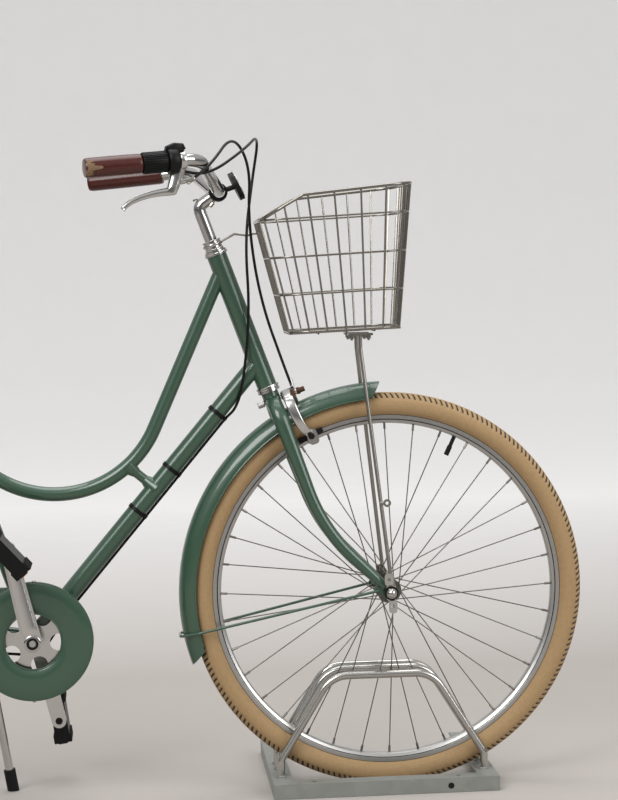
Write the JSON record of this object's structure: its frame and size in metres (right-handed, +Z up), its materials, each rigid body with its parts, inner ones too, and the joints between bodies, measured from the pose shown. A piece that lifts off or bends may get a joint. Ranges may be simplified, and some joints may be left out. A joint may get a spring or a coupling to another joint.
{
  "type": "step-through city bicycle with front basket in a floor rack",
  "caption": "Retro step-through bicycle with curved top tube, swept-back bar, wire front basket and kickstand, parked with its front wheel in a floor rack.",
  "frame": {"origin": "on the floor under the middle of the bicycle's box, in its plane of symmetry", "axes": "+X forward along the bicycle, +Y to the rider's left, +Z up"},
  "size_m": [1.8264, 0.6274, 1.1717],
  "materials": {
    "green_paint": "gloss",
    "chrome": "polished",
    "bright_alloy": "satin",
    "zinc_steel": "galvanised",
    "brown_leather": "matte",
    "black_plastic": "satin",
    "black_rubber": "matte",
    "cream_tyre": "matte"
  },
  "bodies": {
    "front_end": {"fork_crown": "green_paint", "fork_blades": "green_paint", "headset_locknut": "chrome", "stem": "chrome", "handlebar": "chrome", "grip_right": "brown_leather", "grip_left": "brown_leather", "gear_shifter": "black_plastic", "brake_lever_bracket": "bright_alloy", "brake_lever": "bright_alloy", "front_reflector": "black_plastic", "brake_caliper": "bright_alloy", "brake_blocks": "black_rubber", "basket_sides": "chrome", "basket_back": "chrome", "basket_front": "chrome", "basket_corners": "chrome", "basket_floor": "chrome", "basket_stays": "zinc_steel", "basket_bracket": "zinc_steel", "front_mudguard": "green_paint", "front_mudguard_stays": "green_paint", "front_axle": "zinc_steel", "rack_base": "zinc_steel", "rack_hoops": "zinc_steel", "brake_cable": "black_rubber", "gear_cable_upper": "black_rubber"},
    "frame": {"head_tube": "green_paint", "top_tube": "green_paint", "down_tube": "green_paint", "seat_tube": "green_paint", "frame_strut": "green_paint", "bottom_bracket": "green_paint", "chain_stays": "green_paint", "seat_stays": "green_paint", "headset_cups": "chrome", "seat_post": "chrome", "saddle": "brown_leather", "saddle_frame": "zinc_steel", "rear_mudguard": "green_paint", "rear_mudguard_stays": "green_paint", "chain": "zinc_steel", "chain_guard": "green_paint", "gear_cable_lower": "black_rubber", "rear_axle": "zinc_steel", "kickstand_bracket": "bright_alloy"},
    "front_wheel": {"front_rim": "bright_alloy", "front_tyre": "cream_tyre", "front_hub": "bright_alloy"},
    "rear_wheel": {"rear_rim": "bright_alloy", "rear_tyre": "cream_tyre", "rear_hub": "bright_alloy"},
    "crankset": {"crank_right": "bright_alloy", "crank_left": "bright_alloy"},
    "pedal_right": {"pedal_right": "black_plastic"},
    "pedal_left": {"pedal_left": "black_plastic"},
    "kickstand": {"kickstand_leg": "bright_alloy", "kickstand_foot": "black_rubber"}
  },
  "joints": [
    {"name": "steering", "type": "hinge", "parent": "front_end", "child": "frame", "pos_m": [0.34974, 0, 0.71411], "axis": [-0.342, 0, 0.9397], "range_deg": [-70, 70], "deforming": ["gear_cable_upper"]},
    {"name": "front_wheel_spin", "type": "hinge", "parent": "front_end", "child": "front_wheel", "pos_m": [0.556, 0, 0.355], "axis": [0, 1, 0], "continuous": true},
    {"name": "rear_wheel_spin", "type": "hinge", "parent": "frame", "child": "rear_wheel", "pos_m": [-0.536, 0, 0.355], "axis": [0, 1, 0], "continuous": true},
    {"name": "crank_spin", "type": "hinge", "parent": "frame", "child": "crankset", "pos_m": [-0.07585, 0, 0.288], "axis": [0, 1, 0], "continuous": true},
    {"name": "pedal_right_spin", "type": "hinge", "parent": "crankset", "child": "pedal_right", "pos_m": [-0.11409, -0.124, 0.45364], "axis": [0, 1, 0], "continuous": true},
    {"name": "pedal_left_spin", "type": "hinge", "parent": "crankset", "child": "pedal_left", "pos_m": [-0.03761, 0.124, 0.12236], "axis": [0, 1, 0], "continuous": true},
    {"name": "kickstand_fold", "type": "hinge", "parent": "frame", "child": "kickstand", "pos_m": [-0.16085, 0.036, 0.25], "axis": [0, 1, 0], "range_deg": [0, 97]}
  ]
}
